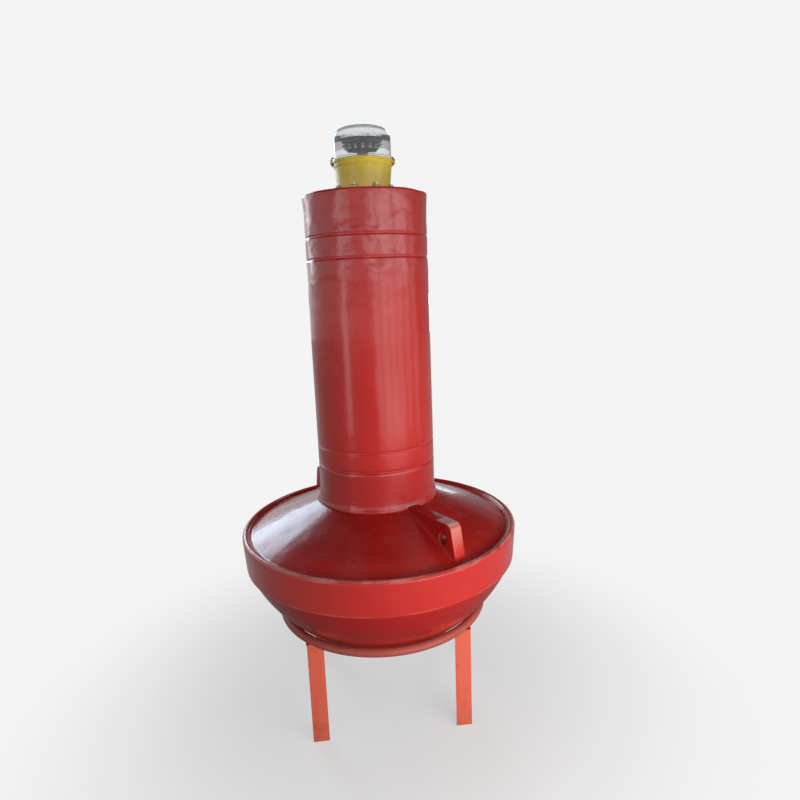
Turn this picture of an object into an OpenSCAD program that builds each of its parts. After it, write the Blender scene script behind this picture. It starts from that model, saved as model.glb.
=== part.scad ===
// Moored navigation buoy on its display stand: a dished float with a raised lip, a plain
// round tower with moulded grooves, two lifting lugs, a mooring eye and a marine lantern.
// The floor is Z = 0, the buoy's axis is Z, and the stand's legs are at 45 degrees.

/* [Stand] */
// Height of the ring's centre line over the floor
ring_level = 341; // [300:1:450]
// Diameter of the ring along the centre line of its tube
ring_d = 668; // [600:1:700]
// Outside diameter of the ring's bent tube
ring_tube_d = 27; // [20:0.5:36]
// How far the legs' corners stand out past the ring
leg_proud = 9; // [4:1:20]
// Width of each flange of the angle iron legs
leg_flange = 50; // [40:1:60]
// Wall of the angle iron legs
leg_wall = 5; // [4:0.5:8]
// Radius of the fillet inside the angle iron
leg_root_r = 6; // [3:0.5:8]
// How far the legs' tops are coped up round the ring
leg_cope = 4; // [2:0.5:8]

/* [Float] */
// Largest diameter of the float
float_d = 900; // [860:1:960]
// Depth of the bowl from the band down to its flat bottom
bowl_depth = 276; // [230:1:320]
// Diameter of the flat at the bottom of the bowl
keel_d = 240; // [210:1:300]
// Height of the band round the float
band_h = 111; // [90:1:160]
// How much smaller the band's radius is at its foot
band_draft = 6; // [2:0.5:12]
// How far the band's foot stands out from the bowl
band_step = 6; // [3:0.5:10]
// Radius of the band's two rounded edges
band_edge_r = 12; // [8:0.5:13]
// Width of the raised lip round the deck
lip_w = 27; // [26:1:40]
// Height of the lip over the gutter inside it
lip_h = 11; // [3:0.5:20]
// Height of the deck's top over the lip
deck_rise = 86; // [70:1:130]
// Width of the flat seat left round the tower's foot
deck_seat = 6; // [4:0.5:12]

/* [Tower] */
// Diameter of the tower
tower_d = 380; // [340:1:400]
// Height of the tower
tower_h = 950; // [800:1:1200]
// Rounding of the tower's top edge
tower_top_r = 7; // [3:0.5:16]
// Rounding of the tower's foot
tower_foot_r = 4; // [2:0.5:8]
// Radius of the round grooves
groove_r = 8; // [5:0.5:14]
// Depth of the grooves
groove_depth = 3; // [1.5:0.25:4]
// Height of the lowest groove over the tower's foot
low_groove_up = 131; // [90:1:160]
// Distance between the two low grooves
low_groove_gap = 58; // [40:1:110]
// Distance of the highest groove below the tower's top
high_groove_down = 123; // [80:1:180]
// Distance between the two high grooves
high_groove_gap = 65; // [40:1:110]

/* [Lifting lugs] */
// Angle of the front lug, counted to the right from straight ahead
lug_angle = 30; // [10:1:44]
// Thickness of the lugs
lug_w = 39; // [26:1:50]
// Height of the lugs' level top over the deck's top
lug_top = 10; // [5:0.5:14]
// How far in from the gutter the lugs' outer edge has its foot
lug_toe_in = 14; // [4:1:24]
// How far the lugs' outer edge leans in from its foot up to their top
lug_lean = 21; // [10:1:45]
// Rounding of the lugs' outer top corner
lug_corner_r = 20; // [10:1:30]
// Diameter of the lifting hole
lug_hole_d = 34; // [24:1:38]
// Distance of the lifting hole's centre in from the gutter
lug_hole_in = 71; // [64:1:90]
// Height of the lifting hole's centre over the deck under it
lug_hole_up = 27; // [25:1:34]
// Depth of the notch in the tower that takes the lugs' roots
lug_root = 8; // [5:0.5:14]

/* [Mooring] */
// Diameter of the steel plate under the bowl
moor_plate_d = 200; // [150:1:205]
// Thickness of the steel plate
moor_plate_t = 10; // [6:0.5:16]
// Thickness of the mooring eye
eye_t = 16; // [10:0.5:25]
// Outside radius of the mooring eye
eye_r = 38; // [30:0.5:45]
// Diameter of the mooring eye's hole
eye_hole_d = 34; // [20:0.5:40]
// Depth of the mooring eye's hole below the plate
eye_drop = 48; // [40:1:70]
// Width of the mooring eye where it meets the plate
eye_root_w = 110; // [80:1:140]

/* [Lantern] */
// Height of the lantern's base, from the tower to the lens
base_h = 99; // [70:1:120]
// Diameter of the lantern's foot flange
foot_flange_d = 188; // [176:1:220]
// Thickness of the lantern's foot flange
foot_flange_t = 8; // [5:0.5:12]
// Diameter of the base's body at its foot
base_foot_d = 153; // [130:1:165]
// Diameter of the base's body at its top
base_top_d = 170; // [160:1:178]
// Diameter of the base's top flange and of the lens flange
flange_d = 184; // [180:1:200]
// Thickness of the base's top flange
flange_t = 7; // [4:0.5:12]
// Diameter of the bolt ears at the flanges' sides
ear_d = 18; // [14:0.5:24]
// Radius out from the axis of the bolt ears
ear_at = 89; // [86:0.5:98]
// Outside diameter of the lens
lens_d = 172; // [160:1:178]
// Height of the lens over the base, its flange included
lens_h = 91; // [80:1:150]
// Wall of the lens
lens_wall = 5; // [3:0.5:8]
// Thickness of the lens flange
lens_flange_t = 5; // [3:0.5:8]
// Radius of the lens's shoulder
lens_shoulder_r = 30; // [20:1:44]

/* [Lamp] */
// Diameter of the lamp's stem
stem_d = 24; // [16:0.5:34]
// Height of the lamp's stem over the base
stem_h = 20; // [10:0.5:30]
// Diameter of the lamp head at its foot
head_foot_d = 46; // [36:0.5:56]
// Diameter of the lamp head at its top
head_top_d = 75; // [60:0.5:90]
// Height of the lamp head
head_h = 32; // [20:0.5:40]
// Diameter of the disc over the lamp head
disc_d = 142; // [100:1:150]
// Thickness of the disc over the lamp head
disc_t = 3; // [2:0.5:6]

/* [Fit] */
// Gap left between pieces that rest on curved faces
seat_gap = 0.3; // [0.1:0.05:0.5]

/* [Hidden] */
$fn = 96;

stand_color = [0.89, 0.38, 0.3];
shell_color = [0.8, 0.2, 0.18];
steel_color = [0.62, 0.63, 0.64];
base_color = [0.93, 0.78, 0.22];
lens_color = [0.9, 0.93, 0.95, 0.4];
lamp_color = [0.2, 0.2, 0.22];

// Stand
tube_r = ring_tube_d / 2;
ring_r = ring_d / 2;
leg_out = (ring_r + tube_r + leg_proud) / sqrt(2);
leg_top = ring_level - tube_r + leg_cope;

// Float: the bowl is part of a ball, which rests on the ring's tube
float_r = float_d / 2;
keel_r = keel_d / 2;
band_foot_r = float_r - band_draft;
bowl_top_r = band_foot_r - band_step;
ball_up = (pow(bowl_top_r, 2) + pow(bowl_depth, 2) - pow(keel_r, 2)) / (2 * bowl_depth);
ball_r = sqrt(pow(ball_up, 2) + pow(keel_r, 2));
ball_z = ring_level + sqrt(pow(ball_r + tube_r + seat_gap, 2) - pow(ring_r, 2));
keel_z = ball_z - ball_up;
band_z = keel_z + bowl_depth;
lip_z = band_z + band_h;
gutter_z = lip_z - lip_h;
gutter_r = float_r - lip_w;
deck_z = lip_z + deck_rise;
deck_slope = (deck_z - gutter_z) / (gutter_r - tower_d / 2 - deck_seat);
foot_edge = [band_foot_r - band_edge_r, band_z + band_edge_r];
lip_edge = [float_r - band_edge_r, lip_z - band_edge_r];
band_run = lip_edge - foot_edge;
band_normal = [band_run.y, -band_run.x] / norm(band_run);
lip_wall_x = lip_edge.x - band_edge_r;
lip_inside = gutter_z < lip_edge.y
    ? [[lip_wall_x, lip_edge.y], [lip_wall_x, gutter_z]]
    : [[lip_edge.x, gutter_z]];

// Tower
tower_r = tower_d / 2;
deck_seat_r = tower_r + deck_seat;
groove_levels = [
    low_groove_up,
    low_groove_up + low_groove_gap,
    tower_h - high_groove_down - high_groove_gap,
    tower_h - high_groove_down
];
tower_top_z = deck_z + tower_h;

// Lugs: the front one is turned lug_angle from straight ahead, its twin is opposite
lug_turn = lug_angle - 90;
lug_top_z = deck_z + lug_top;
lug_root_at = tower_r - lug_root;
lug_low_z = gutter_z - lug_top;
lug_hole_at = gutter_r - lug_hole_in;
lug_hole_z = gutter_z + lug_hole_in * deck_slope + lug_hole_up;
lug_toe = [gutter_r - lug_toe_in, gutter_z];
lug_corner = [lug_toe.x - lug_lean, lug_top_z];
lug_edge = (lug_toe - lug_corner) / norm(lug_toe - lug_corner);
lug_bend = acos(-lug_edge.x);
lug_tangent = lug_corner_r / tan(lug_bend / 2);

// Mooring
plate_z = keel_z - moor_plate_t;
eye_z = plate_z - eye_drop;

// Lantern and lamp
base_z = tower_top_z;
lens_z = base_z + base_h;
lens_r = lens_d / 2;
flange_r = flange_d / 2;
head_z = lens_z + stem_h;
disc_z = head_z + head_h;

// A ball-shaped zone of the bowl's outline, as a half section
module bowl_section() {
    intersection() {
        translate([0, ball_z]) circle(r = ball_r, $fn = 180);
        translate([0, keel_z]) square([float_r, foot_edge.y - keel_z]);
    }
}

// The band with its two rounded edges, the lip and the deck, as a half section
module band_section() {
    for (edge = [foot_edge, lip_edge])
        translate(edge) circle(r = band_edge_r);
    polygon([
        foot_edge,
        foot_edge + band_normal * band_edge_r,
        lip_edge + band_normal * band_edge_r,
        lip_edge
    ]);
    polygon(concat(
        [[0, band_z], [foot_edge.x, band_z], foot_edge, lip_edge],
        lip_inside,
        [[gutter_r, gutter_z], [deck_seat_r, deck_z], [0, deck_z]]
    ));
}

module float_body() {
    color(shell_color)
        rotate_extrude($fn = 180) {
            bowl_section();
            band_section();
        }
}

// The tower's outline with its rounded edges and grooves, as a half section
module tower_section() {
    difference() {
        union() {
            translate([0, tower_foot_r])
                square([tower_r, tower_h - tower_foot_r - tower_top_r]);
            square([tower_r - tower_foot_r, tower_foot_r]);
            translate([0, tower_h - tower_top_r])
                square([tower_r - tower_top_r, tower_top_r]);
            translate([tower_r - tower_foot_r, tower_foot_r]) circle(r = tower_foot_r);
            translate([tower_r - tower_top_r, tower_h - tower_top_r])
                circle(r = tower_top_r);
        }
        for (level = groove_levels)
            translate([tower_r - groove_depth + groove_r, level]) circle(r = groove_r);
    }
}

// A block that follows a lug's root, larger than the root by a gap on each side
module lug_root_block(gap) {
    translate([lug_root_at - gap, -lug_w / 2 - gap, deck_z - gap])
        cube([lug_root * 2 + gap, lug_w + 2 * gap, lug_top + 2 * gap]);
}

module tower() {
    color(shell_color)
        difference() {
            translate([0, 0, deck_z]) rotate_extrude($fn = 180) tower_section();
            for (turn = [lug_turn, lug_turn + 180])
                rotate([0, 0, turn]) lug_root_block(seat_gap);
        }
}

// What is cut off a lug's outer top corner to round it
module lug_corner_waste() {
    arc_centre = lug_corner - [lug_tangent, lug_corner_r];
    difference() {
        polygon([
            lug_corner - [lug_tangent, 0],
            lug_corner,
            lug_corner + lug_edge * lug_tangent,
            arc_centre
        ]);
        translate(arc_centre) circle(r = lug_corner_r);
    }
}

// A lug's side view: radius out from the axis along X, height along Y
module lug_side() {
    difference() {
        polygon([
            [lug_root_at, lug_low_z],
            [lug_root_at, lug_top_z],
            lug_corner,
            lug_toe,
            [lug_toe.x, lug_low_z]
        ]);
        lug_corner_waste();
    }
}

// The deck and the gutter under a lug, raised by a gap
module deck_below(gap) {
    rotate_extrude($fn = 180)
        polygon([
            [0, band_z],
            [float_r, band_z],
            [float_r, gutter_z + gap],
            [gutter_r, gutter_z + gap],
            [deck_seat_r, deck_z + gap],
            [0, deck_z + gap]
        ]);
}

// One lifting lug, standing along X
module lifting_lug() {
    color(shell_color)
        difference() {
            translate([0, lug_w / 2, 0])
                rotate([90, 0, 0]) linear_extrude(lug_w) lug_side();
            translate([lug_hole_at, 0, lug_hole_z])
                rotate([90, 0, 0]) cylinder(d = lug_hole_d, h = 2 * lug_w, center = true);
            deck_below(seat_gap);
        }
}

// One angle iron leg at the corner where X and Y are both positive
module stand_leg() {
    flange_at = leg_out - leg_flange;
    color(stand_color)
        difference() {
            linear_extrude(leg_top)
                difference() {
                    translate([flange_at, flange_at]) square(leg_flange);
                    translate([flange_at - leg_wall, flange_at - leg_wall])
                        leg_hollow();
                }
            stand_tube(tube_r + seat_gap);
        }
}

// The space inside the angle iron, with its filleted root
module leg_hollow() {
    inside = leg_flange;
    square([inside - leg_root_r, inside]);
    square([inside, inside - leg_root_r]);
    translate([inside - leg_root_r, inside - leg_root_r]) circle(r = leg_root_r);
}

// The ring's tube, with a given radius
module stand_tube(r) {
    translate([0, 0, ring_level])
        rotate_extrude($fn = 120) translate([ring_r, 0]) circle(r = r);
}

module stand_ring() {
    color(stand_color) stand_tube(tube_r);
}

module mooring_plate() {
    color(steel_color)
        translate([0, 0, plate_z]) cylinder(d = moor_plate_d, h = moor_plate_t);
}

module mooring_eye() {
    color(steel_color)
        translate([0, eye_t / 2, 0])
            rotate([90, 0, 0])
                linear_extrude(eye_t)
                    difference() {
                        union() {
                            translate([0, eye_z]) circle(r = eye_r);
                            polygon([
                                [-eye_r, eye_z],
                                [eye_r, eye_z],
                                [eye_root_w / 2, plate_z],
                                [-eye_root_w / 2, plate_z]
                            ]);
                        }
                        translate([0, eye_z]) circle(d = eye_hole_d);
                    }
}

// The two bolt ears of a lantern flange of a given thickness
module bolt_ears(t) {
    for (side = [-1, 1])
        translate([side * ear_at, 0, 0]) cylinder(d = ear_d, h = t, $fn = 48);
}

module lantern_base() {
    body_h = base_h - foot_flange_t - flange_t;
    color(base_color)
        translate([0, 0, base_z]) {
            cylinder(d = foot_flange_d, h = foot_flange_t);
            translate([0, 0, foot_flange_t])
                cylinder(d1 = base_foot_d, d2 = base_top_d, h = body_h);
            translate([0, 0, base_h - flange_t]) {
                cylinder(d = flange_d, h = flange_t);
                bolt_ears(flange_t);
            }
        }
}

// Half section of a closed bell with a given radius, height and shoulder radius
module bell_section(r, h, shoulder_r) {
    square([r - shoulder_r, h]);
    square([r, h - shoulder_r]);
    translate([r - shoulder_r, h - shoulder_r]) circle(r = shoulder_r);
}

module lantern_lens() {
    color(lens_color)
        translate([0, 0, lens_z]) {
            rotate_extrude($fn = 120)
                difference() {
                    union() {
                        bell_section(lens_r, lens_h, lens_shoulder_r);
                        square([flange_r, lens_flange_t]);
                    }
                    bell_section(lens_r - lens_wall, lens_h - lens_wall,
                        lens_shoulder_r - lens_wall);
                }
            difference() {
                bolt_ears(lens_flange_t);
                translate([0, 0, -lens_flange_t]) cylinder(r = lens_r, h = 3 * lens_flange_t);
            }
        }
}

module lamp_stem() {
    color(lamp_color)
        translate([0, 0, lens_z]) cylinder(d = stem_d, h = stem_h);
}

module lamp_head() {
    color(lamp_color)
        translate([0, 0, head_z]) cylinder(d1 = head_foot_d, d2 = head_top_d, h = head_h);
}

module lamp_disc() {
    color(steel_color)
        translate([0, 0, disc_z]) cylinder(d = disc_d, h = disc_t);
}

stand_ring();
mirror([0, 1, 0]) stand_leg();  // stand_leg_front_right
stand_leg();  // stand_leg_back_right
mirror([1, 0, 0]) stand_leg();  // stand_leg_back_left
rotate([0, 0, 180]) stand_leg();  // stand_leg_front_left
float_body();
tower();
rotate([0, 0, lug_turn]) lifting_lug();  // lifting_lug_front
rotate([0, 0, lug_turn + 180]) lifting_lug();  // lifting_lug_back
mooring_plate();
mooring_eye();
lantern_base();
lantern_lens();
lamp_stem();
lamp_head();
lamp_disc();
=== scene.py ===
"""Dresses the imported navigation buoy: red float and tower, ring stand and marine lantern."""

import logging
import math
from dataclasses import dataclass, field
from enum import Enum
from functools import cached_property
from typing import Callable, Iterable, Mapping, Sequence, Union

import bmesh
import bpy
from mathutils import Matrix, Vector, noise


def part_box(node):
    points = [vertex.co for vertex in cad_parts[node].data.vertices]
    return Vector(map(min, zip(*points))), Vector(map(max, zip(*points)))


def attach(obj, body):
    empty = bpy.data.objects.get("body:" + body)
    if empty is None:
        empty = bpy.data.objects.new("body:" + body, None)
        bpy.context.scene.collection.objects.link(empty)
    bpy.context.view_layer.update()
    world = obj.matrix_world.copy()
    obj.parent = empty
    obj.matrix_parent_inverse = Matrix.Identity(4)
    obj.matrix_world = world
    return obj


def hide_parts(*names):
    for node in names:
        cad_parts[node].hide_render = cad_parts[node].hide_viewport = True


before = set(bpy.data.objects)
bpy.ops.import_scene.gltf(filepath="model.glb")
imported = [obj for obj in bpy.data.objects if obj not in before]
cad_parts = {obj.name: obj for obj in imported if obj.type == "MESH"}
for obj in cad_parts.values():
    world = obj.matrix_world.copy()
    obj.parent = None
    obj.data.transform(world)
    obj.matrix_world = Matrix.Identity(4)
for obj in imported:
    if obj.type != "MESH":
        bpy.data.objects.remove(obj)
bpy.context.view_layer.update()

BODY = "root"
TURN = 2 * math.pi

log = logging.getLogger("buoy")

Point = tuple[float, float]
Triple = tuple[float, float, float]
Colour = tuple[float, float, float]


# Shader maths


class Wire:
    """An output socket of a shader node that can be used in Python arithmetic."""

    def __init__(self, graph: "Graph", socket: bpy.types.NodeSocket) -> None:
        """Keeps the builder of the node tree and the socket that carries the value."""
        self.graph = graph
        self.socket = socket

    def _maths(self, operation: str, left: "Value", right: "Value") -> "Wire":
        """Adds one Math node for two values and returns its result."""
        return self.graph.node("ShaderNodeMath", {0: left, 1: right}, operation=operation)

    def __add__(self, other: "Value") -> "Wire":
        """Adds."""
        return self._maths("ADD", self, other)

    def __radd__(self, other: "Value") -> "Wire":
        """Adds, reflected."""
        return self._maths("ADD", other, self)

    def __sub__(self, other: "Value") -> "Wire":
        """Subtracts."""
        return self._maths("SUBTRACT", self, other)

    def __rsub__(self, other: "Value") -> "Wire":
        """Subtracts, reflected."""
        return self._maths("SUBTRACT", other, self)

    def __mul__(self, other: "Value") -> "Wire":
        """Multiplies."""
        return self._maths("MULTIPLY", self, other)

    def __rmul__(self, other: "Value") -> "Wire":
        """Multiplies, reflected."""
        return self._maths("MULTIPLY", other, self)

    def __abs__(self) -> "Wire":
        """Drops the sign."""
        return self._maths("ABSOLUTE", self, 0.0)

    def at_least(self, other: "Value") -> "Wire":
        """Returns the larger of the two."""
        return self._maths("MAXIMUM", self, other)

    def at_most(self, other: "Value") -> "Wire":
        """Returns the smaller of the two."""
        return self._maths("MINIMUM", self, other)

    def step(self, low: float, high: float) -> "Wire":
        """Rises smoothly from 0 where the value is low to 1 where it is high."""
        inputs = {"Value": self, "From Min": low, "From Max": high}
        return self.graph.node("ShaderNodeMapRange", inputs, interpolation_type="SMOOTHSTEP")


Value = Union[Wire, float, Sequence[float]]


class Graph:
    """Builds the node tree of one material or world."""

    def __init__(self, name: str, owner: bpy.types.World | None = None) -> None:
        """Starts an empty node tree.

        Args:
            name: The material's name.
            owner: A world to use in place of a new material.
        """
        self.material = owner or bpy.data.materials.new(name)
        self.material.use_nodes = True
        self.tree = self.material.node_tree
        self.tree.nodes.clear()

    def node(
        self,
        kind: str,
        inputs: Mapping[Union[str, int], Value] | None = None,
        output: Union[str, int] = 0,
        **settings: str,
    ) -> Wire:
        """Makes any node.

        Args:
            kind: The node's type name.
            inputs: Values or wires by socket name or number.
            output: The output socket's name or number.
            settings: Attributes that are set before the sockets.

        Returns:
            The chosen output.
        """
        made = self.tree.nodes.new(kind)
        for key, setting in settings.items():
            setattr(made, key, setting)
        for key, value in (inputs or {}).items():
            if isinstance(value, Wire):
                self.tree.links.new(value.socket, made.inputs[key])
            else:
                made.inputs[key].default_value = value
        return Wire(self, made.outputs[output])

    @cached_property
    def place(self) -> Wire:
        """Returns the point's Object coordinates, which are the row's own metres."""
        return self.node("ShaderNodeTexCoord", output="Object")

    def axis(self, vector: Wire, name: str) -> Wire:
        """Returns one part, "X", "Y" or "Z", of a vector."""
        return self.node("ShaderNodeSeparateXYZ", {0: vector}, name)

    def noise(self, scale: float | Triple, detail: float = 3.0, roughness: float = 0.5) -> Wire:
        """Makes cloudy noise from 0 to 1, or streaks where the scale differs by axis.

        Args:
            scale: Features for each metre, in all directions or along X, Y and Z.
            detail: Octaves.
            roughness: How strong the finer octaves are.

        Returns:
            The noise.
        """
        place = self.place
        if isinstance(scale, tuple):
            place = self.node("ShaderNodeMapping", {"Vector": place, "Scale": scale})
            scale = 1.0
        inputs = {"Vector": place, "Scale": scale, "Detail": detail, "Roughness": roughness}
        return self.node("ShaderNodeTexNoise", inputs)

    def layers(self, base: Colour, *coats: tuple[Wire, Colour]) -> Wire:
        """Lays colours over each other.

        Args:
            base: The lowest colour.
            coats: How much shows of each colour above it, and the colour.

        Returns:
            The mixed colour.
        """
        mixed = (*base, 1.0)
        for factor, colour in coats:
            inputs = {0: factor, 6: mixed, 7: (*colour, 1.0)}
            mixed = self.node("ShaderNodeMix", inputs, 2, data_type="RGBA")
        return mixed

    def bump(self, height: Wire, depth: float) -> Wire:
        """Turns a height from 0 to 1 into a bent normal, where 1 is so many metres deep."""
        return self.node("ShaderNodeBump", {"Height": height, "Distance": depth})

    def edges(self, low: float, high: float) -> Wire:
        """Marks convex edges, from 0 at a low pointiness to 1 at a high one."""
        return self.node("ShaderNodeNewGeometry", output="Pointiness").step(low, high)

    def shade(self, sockets: Mapping[str, Value]) -> bpy.types.Material:
        """Closes the material with a Principled shader, whose sockets are given by name."""
        self.close(self.node("ShaderNodeBsdfPrincipled", sockets, "BSDF"))
        return self.material

    def close(self, shader: Wire, kind: str = "ShaderNodeOutputMaterial") -> None:
        """Links a shader to the tree's output."""
        end = self.tree.nodes.new(kind)
        self.tree.links.new(shader.socket, end.inputs["Surface"])


# Finishes


@dataclass(frozen=True)
class Gelcoat:
    """Glossy red shell, laid up by hand, a little cloudy and scuffed.

    A pair is where a mark starts and where it is full, in metres. A name that ends in z is a
    height, and one that ends in r2 is the square of a distance from the axis.
    """

    name: str = "red_gelcoat"
    colour: Colour = (0.56, 0.018, 0.013)
    # The streaks' deeper red, also used for the painted shade of the bowl, the deck and the tower's
    # foot.
    deep: Colour = (0.42, 0.011, 0.009)
    faded: Colour = (0.6, 0.028, 0.022)
    # The scuffs' colour, also used for the painted highlight on the band's crease.
    scuff_and_highlight: Colour = (0.64, 0.17, 0.13)
    dust: Colour = (0.42, 0.2, 0.17)
    # The greyer red of the painted reflection haze on the tower's upper part.
    painted_haze: Colour = (0.44, 0.036, 0.034)
    # The near-black red of the painted shade in concave spots.
    grime: Colour = (0.17, 0.02, 0.018)
    # The colour of the painted highlights on the lip and on the lugs' ends.
    painted_highlight: Colour = (0.9, 0.5, 0.43)
    roughness: float = 0.17
    haze_z: Point = (1.3, 1.5)
    dents_z: Point = (1.3, 1.45)
    rim_z: Point = (0.618, 0.6215)
    rim_r2: Point = (0.1895, 0.193)
    crease_z: Point = (0.511, 0.516)
    crease_end_z: Point = (0.518, 0.525)
    # Heights and reaches of the painted shade on the bowl and on the deck round the tower.
    under_z: Point = (0.508, 0.514)
    deck_z: Point = (0.6, 0.66)
    deck_end_z: Point = (0.8, 0.88)
    deck_r2: Point = (0.12, 0.15)
    lug_azimuth: float = -60.0
    lug_reach: Point = (0.33, 0.342)
    lug_half: Point = (0.0178, 0.0192)
    lug_end_z: Point = (0.64, 0.715)
    lug_top_z: Point = (0.715, 0.7205)
    depth: float = 0.0045

    def build(self) -> bpy.types.Material:
        """Builds the material.

        Returns:
            The material.
        """
        g = Graph(self.name)
        x, y, z = (g.axis(g.place, name) for name in "XYZ")
        spread = x * x + y * y
        clouds = g.noise(5.0, 4.0, 0.55)
        mottle = g.noise(38.0, 3.0, 0.6)
        streaks = g.noise((42.0, 42.0, 3.3), 4.0, 0.6)
        flecks = g.noise(260.0, 2.0, 0.6)
        patchy = g.noise(9.0, 4.0, 0.6).step(0.42, 0.6)
        worn = g.edges(0.53, 0.62) * g.noise(60.0, 3.0, 0.7).step(0.45, 0.6)
        scratches = g.noise((240.0, 240.0, 9.0), 2.0).step(0.7, 0.76)
        scuffs = (worn + scratches * g.noise(7.0).step(0.52, 0.66) * 0.5).at_most(1.0)
        # Painted highlight along the lip's outer top edge.
        rim = z.step(*self.rim_z) * spread.step(*self.rim_r2)
        # Painted highlight along the crease at the band's foot.
        crease_highlight = z.step(*self.crease_z) * (1.0 - z.step(*self.crease_end_z))
        # Painted shade: concave spots, grooves and joins darkened towards a near-black red.
        cavity_shade = 1.0 - g.edges(0.4, 0.49)
        # Painted shade: the bowl under the band, and the deck, the tower's foot and the lugs' inner
        # parts near the axis.
        under = 1.0 - z.step(*self.under_z)
        deck = (1.0 - spread.step(*self.deck_r2)) * z.step(*self.deck_z)
        painted_shade = (deck * (1.0 - z.step(*self.deck_end_z))).at_least(under)
        up = g.axis(g.node("ShaderNodeNewGeometry", output="Normal"), "Z").step(0.5, 1.0)
        settled = up * g.noise(16.0, 5.0, 0.65).step(0.4, 0.75)
        base = g.layers(
            self.colour,
            (clouds.step(0.42, 0.7) * 0.55, self.faded),
            (streaks.step(0.5, 0.75) * 0.16, self.deep),
            (mottle.step(0.55, 0.8) * 0.14, self.faded),
            (scuffs * 0.6, self.scuff_and_highlight),
            # Painted reflection: the tower's upper part is tinted greyer, as a haze of reflected
            # window light.
            (z.step(*self.haze_z) * 0.5, self.painted_haze),
            (crease_highlight * (0.1 + patchy * 0.25), self.scuff_and_highlight),
            (rim * (0.1 + patchy * 0.35), self.painted_highlight),
            (cavity_shade * 0.75, self.grime),
            (painted_shade * 0.8, self.deep),
            (self._lug_highlights(g, x, y, z), self.painted_highlight),
            (settled * 0.07, self.dust),
        )
        rough = self.roughness + clouds * 0.08 + scuffs * 0.2 + settled * 0.1
        return g.shade({
            "Base Color": base,
            "Roughness": rough + flecks.step(0.6, 0.8) * 0.05,
            "Normal": g.bump(self._relief(g, z), self.depth),
            "Coat Weight": 0.25,
            "Coat Roughness": 0.06,
            "IOR": 1.5,
        })

    def _lug_highlights(self, g: Graph, x: Wire, y: Wire, z: Wire) -> Wire:
        """Paints highlights on the lugs' outer ends, on their tops and their outer edges.

        Args:
            g: The material's builder.
            x: The place along X.
            y: The place along Y.
            z: The height.

        Returns:
            The mark from 0 to 1.
        """
        turn = math.radians(self.lug_azimuth)
        along = abs(x * math.cos(turn) + y * math.sin(turn))
        across = abs(x * math.sin(turn) - y * math.cos(turn))
        ragged = along + g.noise(90.0, 4.0, 0.7) * 0.02
        painted_highlight = ragged.step(*self.lug_reach) * (1.0 - across.step(*self.lug_half))
        return painted_highlight * (z.step(*self.lug_top_z) * 0.55 + z.step(*self.lug_end_z) * 0.3)

    def _relief(self, g: Graph, z: Wire) -> Wire:
        """Adds up the waves, dents and roller marks of the laminate.

        Args:
            g: The material's builder.
            z: The height.

        Returns:
            The relief, as a share of the depth.
        """
        waves = g.noise((9.0, 9.0, 5.0), 2.0, 0.4)
        dents = g.noise((12.0, 12.0, 15.0), 2.0, 0.45) * z.step(*self.dents_z)
        lumps = g.noise(26.0)
        peel = g.noise(120.0, 2.0)
        rolled = g.noise((70.0, 70.0, 3.5), 3.0, 0.6)
        return waves * 0.8 + dents * 2.0 + lumps * 0.17 + peel * 0.03 + rolled * 0.012


@dataclass(frozen=True)
class BrushedPaint:
    """Orange-red paint brushed over steel, with thin spots, runs and a little rust."""

    name: str = "stand_paint"
    colour: Colour = (0.78, 0.13, 0.075)
    thin: Colour = (0.84, 0.2, 0.13)
    thick: Colour = (0.68, 0.085, 0.05)
    rust: Colour = (0.24, 0.07, 0.035)
    grime: Colour = (0.3, 0.12, 0.08)
    roughness: float = 0.42
    splash_z: Point = (0.0, 0.09)

    def build(self) -> bpy.types.Material:
        """Builds the material.

        Returns:
            The material.
        """
        g = Graph(self.name)
        brush = g.noise((150.0, 150.0, 7.0), 4.0, 0.6)
        clouds = g.noise(22.0, 4.0, 0.55)
        low = 1.0 - g.axis(g.place, "Z").step(*self.splash_z)
        dirt = low * g.noise(45.0, 5.0, 0.65).step(0.35, 0.7)
        chips = g.edges(0.58, 0.7) * g.noise(60.0, 4.0, 0.7).step(0.62, 0.68)
        spots = g.noise(90.0, 3.0, 0.6).step(0.74, 0.78)
        bare = (chips * 0.7 + spots * (0.1 + low)).at_most(1.0)
        base = g.layers(
            self.colour,
            (brush.step(0.4, 0.68) * 0.35, self.thin),
            (clouds.step(0.5, 0.75) * 0.6, self.thick),
            (dirt * 0.55, self.grime),
            (bare * 0.8, self.rust),
        )
        rough = self.roughness + brush * 0.12 + bare * 0.35 + dirt * 0.2
        bent = g.bump(brush * 0.3 + g.noise(240.0, 2.0) * 0.25 - bare * 0.3, 0.0007)
        return g.shade({"Base Color": base, "Roughness": rough, "Normal": bent, "IOR": 1.48})


@dataclass(frozen=True)
class Galvanised:
    """Zinc-coated steel with its spangle."""

    name: str = "galvanised_steel"
    bright: Colour = (0.56, 0.57, 0.58)
    dark: Colour = (0.36, 0.37, 0.385)
    stain: Colour = (0.62, 0.62, 0.6)
    roughness: float = 0.34

    def build(self) -> bpy.types.Material:
        """Builds the material.

        Returns:
            The material.
        """
        g = Graph(self.name)
        spangle = g.node("ShaderNodeTexVoronoi", {"Vector": g.place, "Scale": 130.0}, "Color")
        tone = g.node("ShaderNodeSeparateColor", {0: spangle})
        white = g.noise(36.0, 5.0, 0.7).step(0.56, 0.74)
        base = g.layers(self.dark, (tone, self.bright), (white * 0.6, self.stain))
        rough = self.roughness + tone * 0.14 + white * 0.3
        metal = 0.95 - white * 0.6
        bent = g.bump(g.noise(190.0), 0.0004)
        return g.shade({"Base Color": base, "Roughness": rough, "Metallic": metal, "Normal": bent})


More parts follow.
